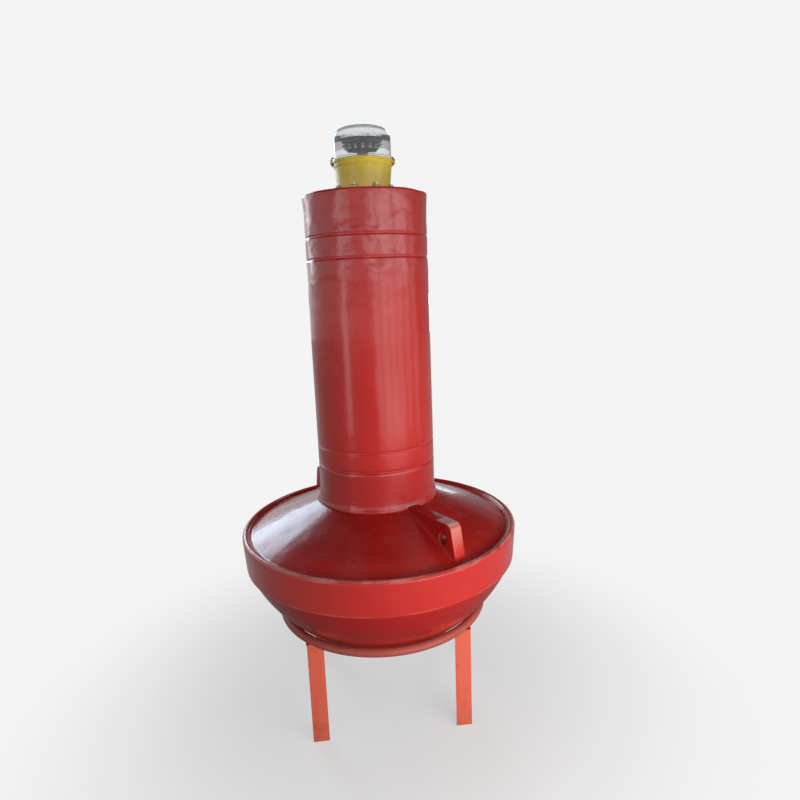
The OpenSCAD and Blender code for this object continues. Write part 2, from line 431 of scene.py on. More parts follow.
@dataclass(frozen=True)
class MouldedYellow:
    """Yellow plastic of the lantern's base, sun-faded and handled, with a painted reflection of
    reddish light near the tower.
    """

    name: str = "lantern_yellow"
    colour: Colour = (0.78, 0.565, 0.03)
    faded: Colour = (0.82, 0.65, 0.09)
    grime: Colour = (0.42, 0.3, 0.07)
    painted_bounce: Colour = (0.98, 0.66, 0.14)
    foot_z: float = 1.661
    bounce_h: float = 0.07
    roughness: float = 0.36

    def build(self) -> bpy.types.Material:
        """Builds the material.

        Returns:
            The material.
        """
        g = Graph(self.name)
        clouds = g.noise(22.0, 4.0, 0.6)
        runs = g.noise((90.0, 90.0, 9.0), 3.0, 0.6).step(0.58, 0.78)
        up = g.axis(g.place, "Z").step(self.foot_z, self.foot_z + self.bounce_h)
        base = g.layers(
            self.colour,
            (clouds.step(0.42, 0.72) * 0.7, self.faded),
            (runs * 0.35, self.grime),
            (g.edges(0.54, 0.62) * 0.4, self.faded),
            # Painted reflection: warmer and lighter towards the foot, as light bounced from the red
            # tower.
            ((1.0 - up) * 0.9, self.painted_bounce),
        )
        return g.shade({
            "Base Color": base,
            "Roughness": self.roughness + clouds * 0.14 + runs * 0.1,
            "Normal": g.bump(g.noise(420.0, 2.0) * 0.5 + g.noise(60.0) * 0.5, 0.0005),
            "Subsurface Weight": 0.05,
            "Subsurface Radius": (0.01, 0.006, 0.002),
            "IOR": 1.5,
            "Coat Weight": 0.25,
            "Coat Roughness": 0.1,
        })


@dataclass(frozen=True)
class ClearPlastic:
    """Clear moulded lens plastic, a little milky with age."""

    name: str = "clear_lens"
    tint: Colour = (0.93, 0.945, 0.955)
    haze: Colour = (0.84, 0.86, 0.88)
    roughness: float = 0.05

    def build(self) -> bpy.types.Material:
        """Builds the material.

        Returns:
            The material.
        """
        g = Graph(self.name)
        film = g.noise(26.0, 4.0, 0.6).step(0.5, 0.8)
        return g.shade({
            "Base Color": g.layers(self.tint, (film, self.haze)),
            "Roughness": self.roughness + film * 0.1,
            "Normal": g.bump(g.noise(45.0, 2.0), 0.0006),
            "Transmission Weight": 0.96,
            "IOR": 1.27,
            "Coat Weight": 0.22,
            "Coat Roughness": 0.03,
            "Coat IOR": 1.49,
        })


@dataclass(frozen=True)
class PlainMetal:
    """Turned or plated metal with fine marks."""

    name: str
    colour: Colour = (0.52, 0.53, 0.55)
    stain: Colour = (0.3, 0.28, 0.26)
    roughness: float = 0.3

    def build(self) -> bpy.types.Material:
        """Builds the material.

        Returns:
            The material.
        """
        g = Graph(self.name)
        marks = g.noise((30.0, 30.0, 900.0), 3.0, 0.6)
        patches = g.noise(90.0, 4.0, 0.65).step(0.48, 0.75)
        base = g.layers(self.colour, (patches * 0.6, self.stain))
        rough = self.roughness + marks * 0.14 + patches * 0.2
        metal = 1.0 - patches * 0.2
        bent = g.bump(marks, 0.0003)
        return g.shade({"Base Color": base, "Roughness": rough, "Metallic": metal, "Normal": bent})


@dataclass(frozen=True)
class DullPlastic:
    """Moulded plastic with a fine grain."""

    name: str
    colour: Colour = (0.075, 0.078, 0.085)
    worn: Colour = (0.15, 0.15, 0.155)
    roughness: float = 0.5

    def build(self) -> bpy.types.Material:
        """Builds the material.

        Returns:
            The material.
        """
        g = Graph(self.name)
        clouds = g.noise(60.0, 4.0, 0.6).step(0.4, 0.75)
        base = g.layers(self.colour, (clouds * 0.7 + g.edges(0.53, 0.62) * 0.3, self.worn))
        rough = self.roughness + clouds * 0.12
        bent = g.bump(g.noise(900.0, 2.0), 0.0003)
        return g.shade({"Base Color": base, "Roughness": rough, "Normal": bent})


@dataclass(frozen=True)
class LampBead:
    """The clear amber-white bead of one light source, unlit."""

    name: str = "lamp_bead"
    colour: Colour = (0.8, 0.81, 0.76)
    core: Colour = (0.84, 0.72, 0.4)
    roughness: float = 0.1

    def build(self) -> bpy.types.Material:
        """Builds the material.

        Returns:
            The material.
        """
        g = Graph(self.name)
        spots = g.noise(500.0, 2.0).step(0.45, 0.6)
        base = g.layers(self.colour, (spots * 0.5, self.core))
        rough = self.roughness + spots * 0.1
        return g.shade({"Base Color": base, "Roughness": rough, "Coat Weight": 0.6})


class Slot(Enum):
    """The record's material slots."""

    STAND = "stand_paint"
    SHELL = "red_shell"
    STEEL = "galvanised_steel"
    LANTERN = "yellow_lantern"
    LENS = "clear_lens"
    LAMP_BLACK = "lamp_black"
    LAMP_METAL = "lamp_metal"


class FinishShop:
    """Builds each finish once and hands it out by name."""

    def __init__(self) -> None:
        """Builds all the finishes."""
        self.gelcoat = Gelcoat().build()
        self.paint = BrushedPaint().build()
        # A darker copy of the stand's paint: painted shade on the ring, which lies under the bowl.
        self.shaded_ring_paint = BrushedPaint(
            "shaded_ring_paint",
            colour=(0.42, 0.082, 0.06),
            thin=(0.48, 0.12, 0.09),
            thick=(0.35, 0.06, 0.045),
        ).build()
        self.zinc = Galvanised().build()
        self.yellow = MouldedYellow().build()
        self.clear = ClearPlastic().build()
        self.stainless = PlainMetal("stainless_steel").build()
        self.disc = DullPlastic(
            "lamp_plate_white", (0.66, 0.68, 0.69), (0.5, 0.52, 0.53), 0.4
        ).build()
        self.black = DullPlastic("lamp_plastic").build()
        self.grey = DullPlastic("lamp_grey", (0.3, 0.31, 0.32), (0.4, 0.41, 0.42), 0.45).build()
        self.bead = LampBead().build()


# Mesh making


def stature(node: str) -> Triple:
    """Returns a CAD node's reach along X, its foot's height and its top's height."""
    low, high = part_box(node)
    return high[0], low[2], high[2]


def about(axis: str, angle: float) -> Matrix:
    """Returns a turn about "X", "Y" or "Z" by an angle in radians."""
    return Matrix.Rotation(angle, 4, axis)


def ramp(value: float, start: float, length: float) -> float:
    """Rises evenly from 0 at a start to 1 a length further on."""
    return min(max((value - start) / length, 0.0), 1.0)


def arc(centre: Point, radius: float, start: float, end: float, steps: int) -> list[Point]:
    """Lays points along an arc.

    Args:
        centre: The arc's centre.
        radius: Its radius.
        start: The first point's angle in degrees.
        end: The last point's angle in degrees.
        steps: How many stretches the arc has.

    Returns:
        The points, both ends included.
    """
    angles = [math.radians(start + (end - start) * i / steps) for i in range(steps + 1)]
    return [(centre[0] + radius * math.cos(a), centre[1] + radius * math.sin(a)) for a in angles]


def circle(centre: Point, radius: float, steps: int) -> list[Point]:
    """Lays points round a circle, each once."""
    return arc(centre, radius, 0.0, 360.0, steps)[:-1]


def run(start: Point, end: Point, steps: int) -> list[Point]:
    """Lays points in even steps along a straight line, without its first one."""
    dx, dy = end[0] - start[0], end[1] - start[1]
    return [(start[0] + dx * i / steps, start[1] + dy * i / steps) for i in range(1, steps + 1)]


def outward(bm: bmesh.types.BMesh) -> bmesh.types.BMesh:
    """Turns the faces of a closed mesh outwards and returns the mesh."""
    bmesh.ops.recalc_face_normals(bm, faces=bm.faces)
    return bm


def turned(profile: Sequence[Point], steps: int, closed: bool = False) -> bmesh.types.BMesh:
    """Spins a half section round the Z axis.

    Args:
        profile: Radius and height of each point.
        steps: How many facets go round.
        closed: Whether the last point joins the first.

    Returns:
        The mesh.
    """
    bm = bmesh.new()
    verts = [bm.verts.new((r, 0.0, z)) for r, z in profile]
    edges = [bm.edges.new(pair) for pair in zip(verts, verts[1:])]
    if closed:
        edges.append(bm.edges.new((verts[-1], verts[0])))
    bmesh.ops.spin(
        bm, geom=verts + edges, cent=(0, 0, 0), axis=(0, 0, 1), dvec=(0, 0, 0), angle=TURN,
        steps=steps, use_merge=True,
    )
    bmesh.ops.remove_doubles(bm, verts=bm.verts, dist=1e-6)
    return outward(bm)


def plate(
    outline: Sequence[Point], low: float, high: float, holes: Sequence[Sequence[Point]] = ()
) -> bmesh.types.BMesh:
    """Makes a flat plate from an outline with holes.

    Args:
        outline: The outline's points in X and Y.
        low: The plate's lower face.
        high: The plate's upper face.
        holes: The outline of each hole.

    Returns:
        The mesh.
    """
    bm = bmesh.new()
    edges = []
    for loop in (outline, *holes):
        verts = [bm.verts.new((x, y, low)) for x, y in loop]
        edges += [bm.edges.new(pair) for pair in zip(verts, verts[1:] + verts[:1])]
    bmesh.ops.triangle_fill(bm, edges=edges, use_beauty=True, use_dissolve=False)
    grown = bmesh.ops.extrude_face_region(bm, geom=list(bm.faces), use_keep_orig=True)
    top = [item for item in grown["geom"] if isinstance(item, bmesh.types.BMVert)]
    bmesh.ops.translate(bm, verts=top, vec=(0, 0, high - low))
    bmesh.ops.dissolve_limit(bm, angle_limit=0.001, verts=bm.verts, edges=bm.edges)
    return outward(bm)


def soften(bm: bmesh.types.BMesh, width: float, segments: int = 2, angle: float = 35.0) -> None:
    """Bevels the sharp edges of a mesh.

    Args:
        bm: The mesh.
        width: The bevel's width.
        segments: How many strips it has.
        angle: Edges that turn by less than this many degrees stay.
    """
    limit = math.radians(angle)
    sharp = [e for e in bm.edges if len(e.link_faces) == 2 and e.calc_face_angle() > limit]
    bmesh.ops.bevel(
        bm, geom=sharp, offset=width, offset_type="OFFSET", segments=segments, profile=0.5,
        affect="EDGES", material=-1, clamp_overlap=True,
    )


def loft(rings: Iterable[Sequence[Sequence[float]]]) -> bmesh.types.BMesh:
    """Skins a row of closed rings and caps its ends.

    Args:
        rings: The points of each ring, as many in each.

    Returns:
        The mesh.
    """
    bm = bmesh.new()
    loops = []
    for ring in rings:
        verts = [bm.verts.new(point) for point in ring]
        loops.append([bm.edges.new(pair) for pair in zip(verts, verts[1:] + verts[:1])])
    for first, second in zip(loops, loops[1:]):
        bmesh.ops.bridge_loops(bm, edges=first + second)
    for loop in (loops[0], loops[-1]):
        bmesh.ops.contextual_create(bm, geom=loop)
    return outward(bm)


def bead(path: Sequence[Vector], radius: float, ripple: float) -> bmesh.types.BMesh:
    """Lays a rippled weld bead along a path.

    Args:
        path: The bead's centre line.
        radius: Its mean radius.
        ripple: How much the radius swells and shrinks, as a share.

    Returns:
        The mesh.
    """
    sides, grain, roughness = 8, 90.0, 0.12
    rings = []
    for i, point in enumerate(path):
        ahead = path[min(i + 1, len(path) - 1)] - path[max(i - 1, 0)]
        turn = ahead.to_track_quat("Z", "Y")
        end = math.sin(math.pi * (i + 0.4) / (len(path) - 0.2)) ** 0.35
        swell = 1.0 + ripple * math.sin(i * 2.1) + roughness * noise.noise(point * grain)
        ring = circle((0.0, 0.0), radius * end * swell, sides)
        rings.append([point + turn @ Vector((-y, x, 0.0)) for x, y in ring])
    return loft(rings)


def cone(
    bm: bmesh.types.BMesh, sides: int, radii: Point, low: float, high: float
) -> bmesh.types.BMesh:
    """Adds a closed round or many-sided cone to a mesh.

    Args:
        bm: The mesh.
        sides: How many sides it has.
        radii: Its radius at its foot and at its top.
        low: The foot's height.
        high: The top's height.

    Returns:
        The same mesh.
    """
    middle = Matrix.Translation((0, 0, (low + high) / 2))
    bmesh.ops.create_cone(
        bm, cap_ends=True, segments=sides, radius1=radii[0], radius2=radii[1], depth=high - low,
        matrix=middle,
    )
    return bm


def hexagon_bolt(across: float, head: float, washer: float) -> bmesh.types.BMesh:
    """Makes a bolt head on its washer, standing on Z = 0.

    Args:
        across: The head's width across its flats.
        head: The head's height.
        washer: The washer's thickness.

    Returns:
        The mesh.
    """
    corner, wide = across / math.sqrt(3.0), across * 0.92
    bm = cone(bmesh.new(), 6, (corner, corner), washer, washer + head)
    soften(bm, across * 0.05, 1, 40.0)
    return outward(cone(bm, 24, (wide, wide * 0.96), 0.0, washer))


def joined(parts: Iterable[tuple[bmesh.types.BMesh, Matrix]]) -> bmesh.types.BMesh:
    """Copies several meshes into one.

    Args:
        parts: Each mesh and where it goes. The meshes are freed.

    Returns:
        The joined mesh.
    """
    whole = bmesh.new()
    for part, place in parts:
        bmesh.ops.transform(part, matrix=place, verts=part.verts)
        scratch = bpy.data.meshes.new("scratch")
        part.to_mesh(scratch)
        part.free()
        whole.from_mesh(scratch)
        bpy.data.meshes.remove(scratch)
    return whole


def wander(
    bm: bmesh.types.BMesh, depth: float, scale: Triple, mask: Callable[[Vector], float]
) -> None:
    """Sinks a surface unevenly, as a hand-laid shell is.

    Args:
        bm: The mesh.
        depth: The deepest sink, in metres.
        scale: Waves for each metre along X, Y and Z.
        mask: Gives the share of the sink at a point.
    """
    finer, offset = 2.7, Vector((3.1, 7.7, 1.9))
    bm.normal_update()
    stretch = Vector(scale)
    moves = []
    for v in bm.verts:
        spot = v.co * stretch
        level = 0.5 + 0.36 * noise.noise(spot) + 0.14 * noise.noise(spot * finer + offset)
        moves.append(-v.normal * depth * level * mask(v.co))
    for v, move in zip(bm.verts, moves):
        v.co += move


def piece(
    bm: bmesh.types.BMesh, name: str, finish: bpy.types.Material,
    nodes: Sequence[str] = (), sharp: float = 40.0,
) -> bpy.types.Object:
    """Makes a finished piece of a mesh and hangs it on the buoy.

    Args:
        bm: The mesh, which is freed.
        name: The piece's name.
        finish: Its material.
        nodes: The CAD nodes that it stands for.
        sharp: Edges that turn by more than this many degrees stay crisp.

    Returns:
        The object.
    """
    for face in bm.faces:
        face.smooth = True
    for edge in bm.edges:
        edge.smooth = len(edge.link_faces) == 2 and edge.calc_face_angle() < math.radians(sharp)
    mesh = bpy.data.meshes.new(name)
    bm.to_mesh(mesh)
    bm.free()
    obj = bpy.data.objects.new(name, mesh)
    bpy.context.scene.collection.objects.link(obj)
    mesh.materials.append(finish)
    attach(obj, BODY)
    if nodes:
        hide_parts(*nodes)
    log.info("%s: %d faces", name, len(mesh.polygons))
    return obj


def cut(obj: bpy.types.Object, cutters: Sequence[bmesh.types.BMesh]) -> None:
    """Cuts shapes out of a piece and keeps the result in its mesh.

    Args:
        obj: The piece.
        cutters: What is cut out. The meshes are freed.
    """
    mesh = bpy.data.meshes.new("cutter")
    whole = joined((shape, Matrix.Identity(4)) for shape in cutters)
    whole.to_mesh(mesh)
    whole.free()
    tool = bpy.data.objects.new("cutter", mesh)
    bpy.context.scene.collection.objects.link(tool)
    modifier = obj.modifiers.new("cut", "BOOLEAN")
    modifier.operation = "DIFFERENCE"
    modifier.solver = "EXACT"
    modifier.object = tool
    bpy.context.view_layer.update()
    graph = bpy.context.evaluated_depsgraph_get()
    made = bpy.data.meshes.new_from_object(obj.evaluated_get(graph))
    obj.modifiers.clear()
    obj.data = made
    bpy.data.objects.remove(tool)


# Sub-assemblies


@dataclass
class Stand:
    """The ring stand: a bent tube on four angle iron legs."""

    shop: FinishShop
    tube_d: float = 0.027
    uneven: float = 0.0005
    uneven_waves: Triple = (9.0, 9.0, 9.0)
    leg_flange: float = 0.05
    leg_wall: float = 0.005
    leg_edge: float = 0.0005
    root_r: float = 0.006
    toe_r: float = 0.0028
    heel_r: float = 0.0012
    bead_r: float = 0.0038
    seam_r: float = 0.0019
    seam_azimuth: float = 118.0
    seam_reach: float = 126.0
    seam_steps: int = 28
    seam_proud: float = 0.2
    seam_ripple: float = 0.18
    bead_proud: float = 0.25
    bead_drop: float = 0.3
    bead_ripple: float = 0.16
    weld_toe: float = 0.004
    weld_heel: float = 0.002
    weld_sink: float = 0.0002
    weld_steps: int = 14

    def __post_init__(self) -> None:
        """Reads the ring's and the legs' places from the frame."""
        reach, low, high = stature("stand_ring")
        self.level = (low + high) / 2
        self.ring_r = reach - self.tube_d / 2
        self.leg_out, _, self.leg_top = stature("stand_leg_back_right")

    def build(self) -> None:
        """Builds the ring, the legs and their welds."""
        self._ring()
        corners = {
            "front_right": (1, -1),
            "back_right": (1, 1),
            "back_left": (-1, 1),
            "front_left": (-1, -1),
        }
        for name, (x, y) in corners.items():
            self._leg(name, x, y)

    def _ring(self) -> None:
        """Bends the ring's tube and closes it with a butt weld."""
        bm = turned(circle((self.ring_r, self.level), self.tube_d / 2, 28), 200, closed=True)
        wander(bm, self.uneven, self.uneven_waves, lambda co: 1.0)
        # The ring and its weld take the darker copy of the stand's paint, as painted shade.
        piece(bm, "ring_tube", self.shop.shaded_ring_paint, ["stand_ring"])
        radius, reach = self.tube_d / 2 + self.seam_r * self.seam_proud, self.seam_reach
        section = arc((self.ring_r, self.level), radius, -reach, reach, self.seam_steps)
        path = [Vector((r, 0.0, z)) for r, z in section]
        seam = bead(path, self.seam_r, self.seam_ripple)
        turn = about("Z", math.radians(self.seam_azimuth))
        piece(joined([(seam, turn)]), "ring_butt_weld", self.shop.shaded_ring_paint)

    def _leg(self, name: str, x: int, y: int) -> None:
        """Makes one leg and the beads that hold it to the ring.

        Args:
            name: Which corner it stands at.
            x: 1 at the right, -1 at the left.
            y: 1 at the back, -1 at the front.
        """
        out = self.leg_out
        inner, hollow = out - self.leg_flange, out - self.leg_wall
        toe, heel, root = self.toe_r, self.heel_r, self.root_r
        outline = [
            (inner, out),
            *arc((inner + toe, hollow + toe), toe, 180.0, 270.0, 4),
            *arc((hollow - root, hollow - root), root, 90.0, 0.0, 6),
            *arc((hollow + toe, inner + toe), toe, 180.0, 270.0, 4),
            (out, inner),
            *arc((out - heel, out - heel), heel, 0.0, 90.0, 3),
        ]
        bm = plate(outline, 0.0, self.leg_top)
        caps = [e for e in bm.edges if abs(e.verts[0].co.z - e.verts[1].co.z) < 1e-6]
        bmesh.ops.bevel(
            bm, geom=caps, offset=self.leg_edge, offset_type="OFFSET", segments=1, profile=0.5,
            affect="EDGES", material=-1,
        )
        mirror = Matrix.Diagonal((x, y, 1.0, 1.0))
        bmesh.ops.transform(bm, matrix=mirror, verts=bm.verts)
        nodes = [f"stand_leg_{name}"]
        piece(outward(bm), f"leg_{name}", self.shop.paint, nodes, sharp=28.0)
        paths = self._weld_paths()
        beads = joined((bead(path, self.bead_r, self.bead_ripple), mirror) for path in paths)
        piece(outward(beads), f"leg_weld_{name}", self.shop.paint)

    def _weld_paths(self) -> list[list[Vector]]:
        """Finds where the ring's tube meets the outer faces of the back right leg.

        Returns:
            One path along each flange.
        """
        drop = self.tube_d / 2 + self.bead_r * self.bead_proud
        start = self.leg_out - self.leg_flange + self.weld_toe
        length = self.leg_flange - self.weld_toe - self.weld_heel
        face = self.leg_out - self.weld_sink
        paths = []
        for swap in (False, True):
            path = []
            for i in range(self.weld_steps + 1):
                along = start + length * i / self.weld_steps
                reach = math.hypot(along, self.leg_out) - self.ring_r
                rise = math.sqrt(max(drop * drop - reach * reach, 0.0))
                z = self.level - max(rise, self.tube_d * self.bead_drop)
                path.append(Vector((face, along, z) if swap else (along, face, z)))
            paths.append(path)
        return paths


@dataclass
class Hull:
    """The float: dished bowl, drafted band, raised lip and sloping deck."""

    shop: FinishShop
    keel_r: float = 0.12
    bowl_depth: float = 0.276
    band_h: float = 0.111
    band_draft: float = 0.006
    band_step: float = 0.006
    edge_r: float = 0.012
    foot_r: float = 0.005
    lip_w: float = 0.027
    lip_h: float = 0.011
    gutter_round: float = 0.0028
    seat_r: float = 0.196
    hollow: float = 0.0016
    hollow_waves: Triple = (4.6, 4.6, 6.0)
    keel_edge: float = 0.004
    keel_fade: float = 0.05
    seat_fade: float = 0.03

    def __post_init__(self) -> None:
        """Reads the float's box from the frame."""
        self.radius, self.keel_z, self.deck_z = stature("float_body")
        self.band_z = self.keel_z + self.bowl_depth
        self.lip_z = self.band_z + self.band_h
        self.gutter_z = self.lip_z - self.lip_h
        self.gutter_r = self.radius - self.lip_w

    def deck_height(self, r: float) -> float:
        """Returns the deck's height at a radius."""
        share = ramp(r, self.seat_r, self.gutter_r - self.seat_r)
        return self.deck_z + (self.gutter_z - self.deck_z) * share

    def _bowl(self) -> list[Point]:
        """Lays out the bowl's ball.

        Returns:
            The points from the keel's flat to the band.
        """
        top_r = self.radius - self.band_draft - self.band_step
        up = (top_r**2 + self.bowl_depth**2 - self.keel_r**2) / (2 * self.bowl_depth)
        ball = math.hypot(up, self.keel_r)
        start = -math.degrees(math.atan2(up, self.keel_r))
        end = -math.degrees(math.atan2(up - self.bowl_depth, top_r))
        return arc((0.0, self.keel_z + up), ball, start, end, 56)

    def build(self) -> None:
        """Builds the float's skin."""
        foot = (self.radius - self.band_draft - self.foot_r, self.band_z + self.foot_r)
        head = (self.radius - self.edge_r, self.lip_z - self.edge_r)
        lean = math.degrees(math.atan2(self.band_draft, head[1] - foot[1]))
        foot_arc = arc(foot, self.foot_r, -90.0, -lean, 8)
        head_arc = arc(head, self.edge_r, -lean, 162.0, 18)
        inner, corner = head[0] - self.edge_r, self.gutter_round
        gutter = arc((inner - corner, self.gutter_z + corner), corner, 0.0, -90.0, 4)
        seat = (self.seat_r, self.deck_z)
        profile = [
            (0.0, self.keel_z),
            *run((0.0, self.keel_z), (self.keel_r - self.keel_edge, self.keel_z), 6),
            *self._bowl(),
            *foot_arc,
            *run(foot_arc[-1], head_arc[0], 14),
            *head_arc[1:],
            *gutter,
            *run(gutter[-1], seat, 40),
            *run(seat, (0.0, self.deck_z), 6),
        ]
        bm = turned(profile, 256)
        wander(bm, self.hollow, self.hollow_waves, self._share)
        piece(bm, "float_shell", self.shop.gelcoat, ["float_body"], sharp=50.0)

    def _share(self, co: Vector) -> float:
        """Keeps the seats true and lets the rest of the shell wander.

        Args:
            co: A point.

        Returns:
            The share of the wander there.
        """
        r = math.hypot(co.x, co.y)
        near_tower = ramp(r, self.seat_r, self.seat_fade) if co.z > self.gutter_z else 1.0
        return near_tower * ramp(r, self.keel_r, self.keel_fade)


@dataclass
class Tower:
    """The plain round tower with its moulded grooves and the notches over the lugs."""

    shop: FinishShop
    top_r: float = 0.007
    foot_r: float = 0.004
    groove_w: float = 0.012
    groove_depth: float = 0.0019
    groove_steps: int = 16
    low_bias: float = 0.6
    low_groove: float = 0.131
    low_gap: float = 0.058
    high_groove: float = 0.123
    high_gap: float = 0.065
    facet_h: float = 0.011
    hollow: float = 0.0026
    hollow_waves: Triple = (5.5, 5.5, 2.4)
    crinkle: float = 0.0042
    crinkle_waves: Triple = (17.0, 17.0, 21.0)
    crinkle_reach: float = 0.4
    crinkle_fade: float = 0.15
    true_h: float = 0.05
    skirt_h: float = 0.034
    skirt_w: float = 0.0056
    skirt_edge: float = 0.006
    skirt_round: float = 0.002
    skirt_root: float = 0.004
    skirt_top: float = 0.0005
    skirt_lift: float = 0.0004
    skirt_sink: float = 0.0012
    skirt_waves: Triple = (30.0, 30.0, 12.0)
    skirt_flat: float = 0.001

    def __post_init__(self) -> None:
        """Reads the tower's box from the frame."""
        self.radius, self.foot_z, self.top_z = stature("tower")

    def _rise(self, start: Point, top: float) -> list[Point]:
        """Lays even points from a start up the wall to a height."""
        steps = max(3, round((top - start[1]) / self.facet_h))
        return run(start, (self.radius, top), steps)

    def _wall(self) -> list[Point]:
        """Lays out the wall with the grooves, the lowest of which has its dip near its foot.

        Returns:
            The points from the foot's rounding to the top's.
        """
        low, high = self.foot_z + self.low_groove, self.top_z - self.high_groove
        count = self.groove_steps
        points = [(self.radius, self.foot_z + self.foot_r)]
        for level in (low, low + self.low_gap, high - self.high_gap, high):
            start = level - self.groove_w / 2
            points += self._rise(points[-1], start)
            bias = self.low_bias if level == low else 1.0
            for share in (i / count for i in range(1, count + 1)):
                depth = self.groove_depth * (0.5 - 0.5 * math.cos(TURN * share**bias))
                points.append((self.radius - depth, start + self.groove_w * share))
        return points + self._rise(points[-1], self.top_z - self.top_r)

    def build(self, lugs: "LugPair") -> None:
        """Builds the tower's skin.

        Args:
            lugs: The lugs whose roots the notches take.
        """
        foot, top = self.foot_r, self.top_r
        foot_arc = arc((self.radius - foot, self.foot_z + foot), foot, -90.0, 0.0, 5)
        top_arc = arc((self.radius - top, self.top_z - top), top, 0.0, 90.0, 7)
        profile = [
            (0.0, self.foot_z),
            *run((0.0, self.foot_z), foot_arc[0], 4),
            *foot_arc[1:-1],
            *self._wall(),
            *top_arc[1:],
            *run(top_arc[-1], (0.0, self.top_z), 14),
        ]
        bm = turned(profile, 224)
        wander(bm, self.hollow, self.hollow_waves, self._share)
        wander(bm, self.crinkle, self.crinkle_waves, self._crinkled)
        skin = piece(bm, "tower_shell", self.shop.gelcoat, ["tower"], sharp=50.0)
        cut(skin, lugs.notches())
        self._skirt()

    def _skirt(self) -> None:
        """Flares the laminate out round the tower's foot, with a blunt lower edge."""
        wide, low = self.radius + self.skirt_w, self.foot_z + self.skirt_lift
        high = self.skirt_h - self.skirt_edge
        flare = [
            (self.radius + self.skirt_w * (1 - share) ** 2.6, low + self.skirt_edge + high * share)
            for share in (i / 10 for i in range(11))
        ]
        inner, top = self.radius - self.skirt_root, flare[-1][1]
        edge = self.skirt_round
        profile = [
            (inner, low),
            (wide - edge, low),
            *arc((wide - edge, low + edge), edge, -60.0, 0.0, 3),
            *flare[:-1],
            (self.radius - self.skirt_top, top),
            (inner, top),
        ]
        bm = turned(profile, 192, closed=True)
        flat = low + self.skirt_flat
        wander(bm, self.skirt_sink, self.skirt_waves, lambda co: float(co.z > flat))
        piece(bm, "tower_skirt", self.shop.gelcoat, sharp=50.0)

    def _crinkled(self, co: Vector) -> float:
        """Roughens the laminate below the tower's top, most at the left.

        Args:
            co: A point.

        Returns:
            The share of the crinkle there.
        """
        left = ramp(-co.x, 0.0, self.radius)
        high = ramp(co.z, self.top_z - self.crinkle_reach, self.crinkle_fade)
        return (0.08 + high * (0.62 + 0.3 * left**2)) * self._share(co)

    def _share(self, co: Vector) -> float:
        """Keeps the foot and the lantern's seat true."""
        return ramp(co.z, self.foot_z, self.true_h) * ramp(self.top_z - co.z, 0.0, self.true_h)


